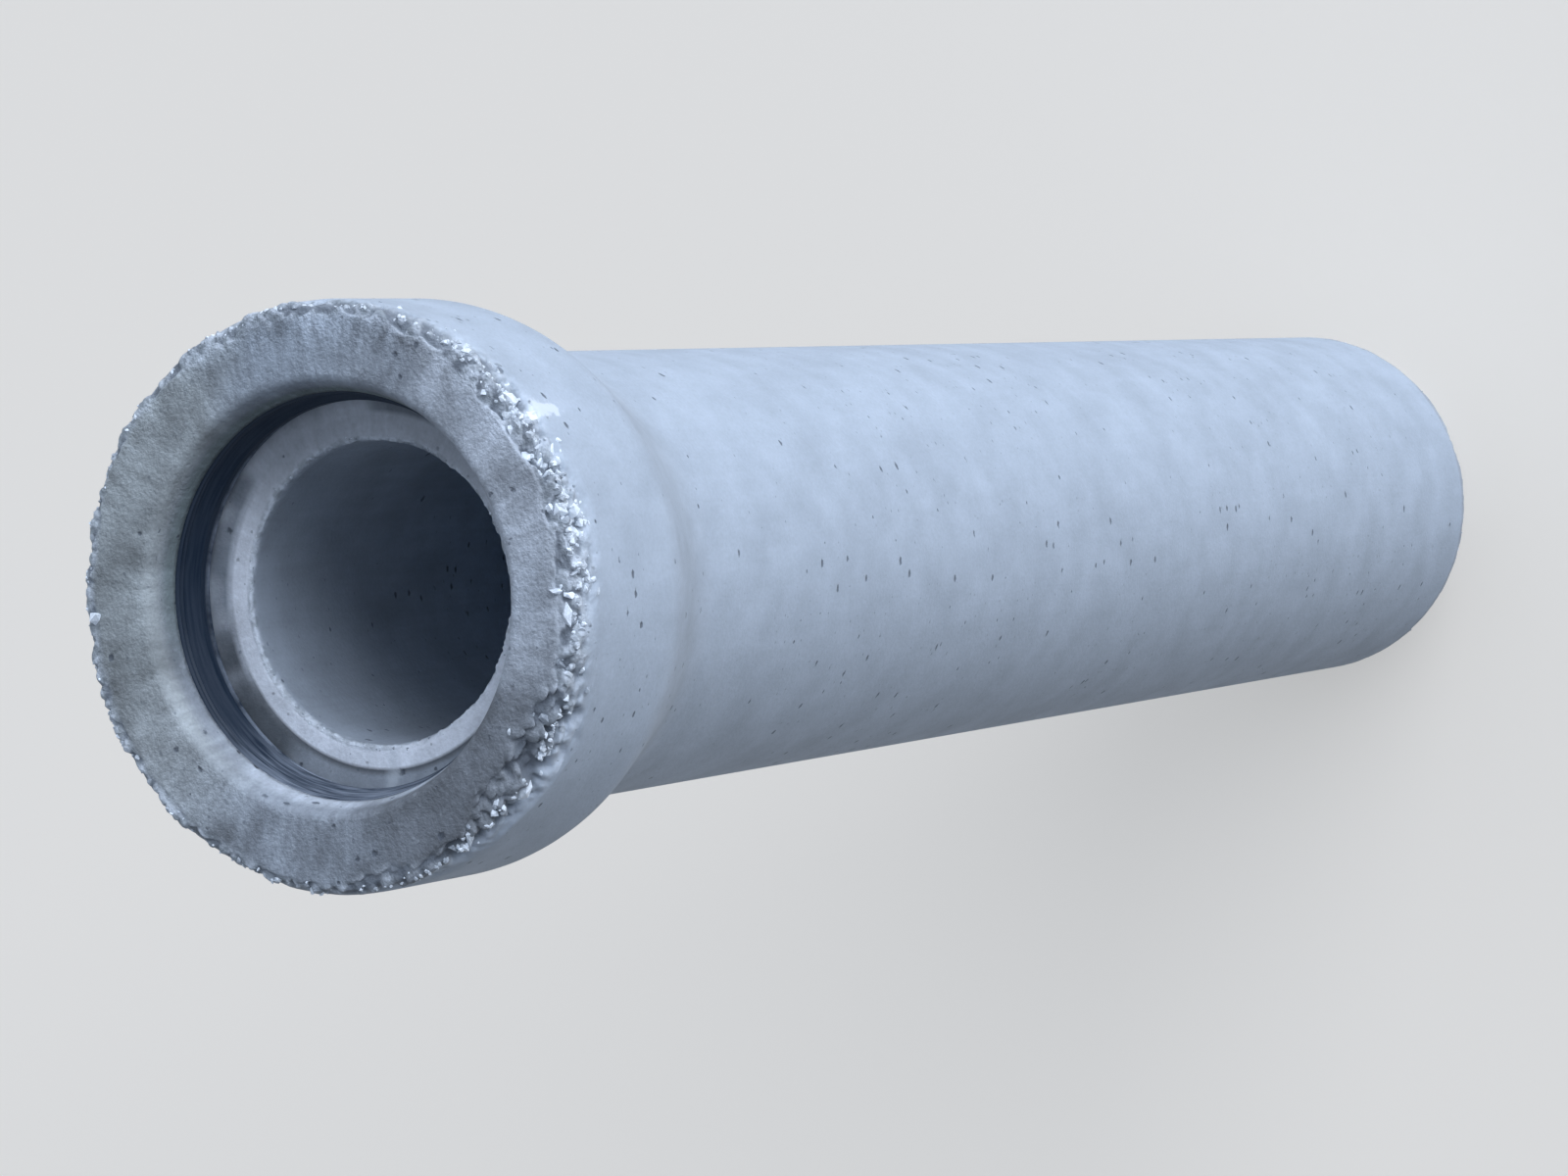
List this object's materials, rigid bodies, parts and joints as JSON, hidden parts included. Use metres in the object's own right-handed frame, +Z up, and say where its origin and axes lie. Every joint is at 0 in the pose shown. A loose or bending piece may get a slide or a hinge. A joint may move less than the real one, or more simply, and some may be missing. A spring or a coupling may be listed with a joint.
{
  "type": "concrete culvert pipe",
  "caption": "Precast concrete pipe with a bell and a spigot, and a rubber ring cast into the bell's socket to seal the joint.",
  "frame": {"origin": "on the floor, in the middle of the spigot's end face that the pipe stands on", "axes": "+Z runs up the pipe's own axis from the spigot to the bell; +X and +Y are level, and +X is the side of the bell that was uppermost while the pipe lay on its side"},
  "size_m": [0.58, 0.58, 2.595],
  "materials": {
    "concrete": "pale grey cast concrete, smooth barrel with small air holes, stained bell face",
    "seal_rubber": "dull black rubber with cement smears"
  },
  "bodies": {
    "root": {"concrete_pipe": "concrete", "socket_seal": "seal_rubber"}
  },
  "joints": []
}
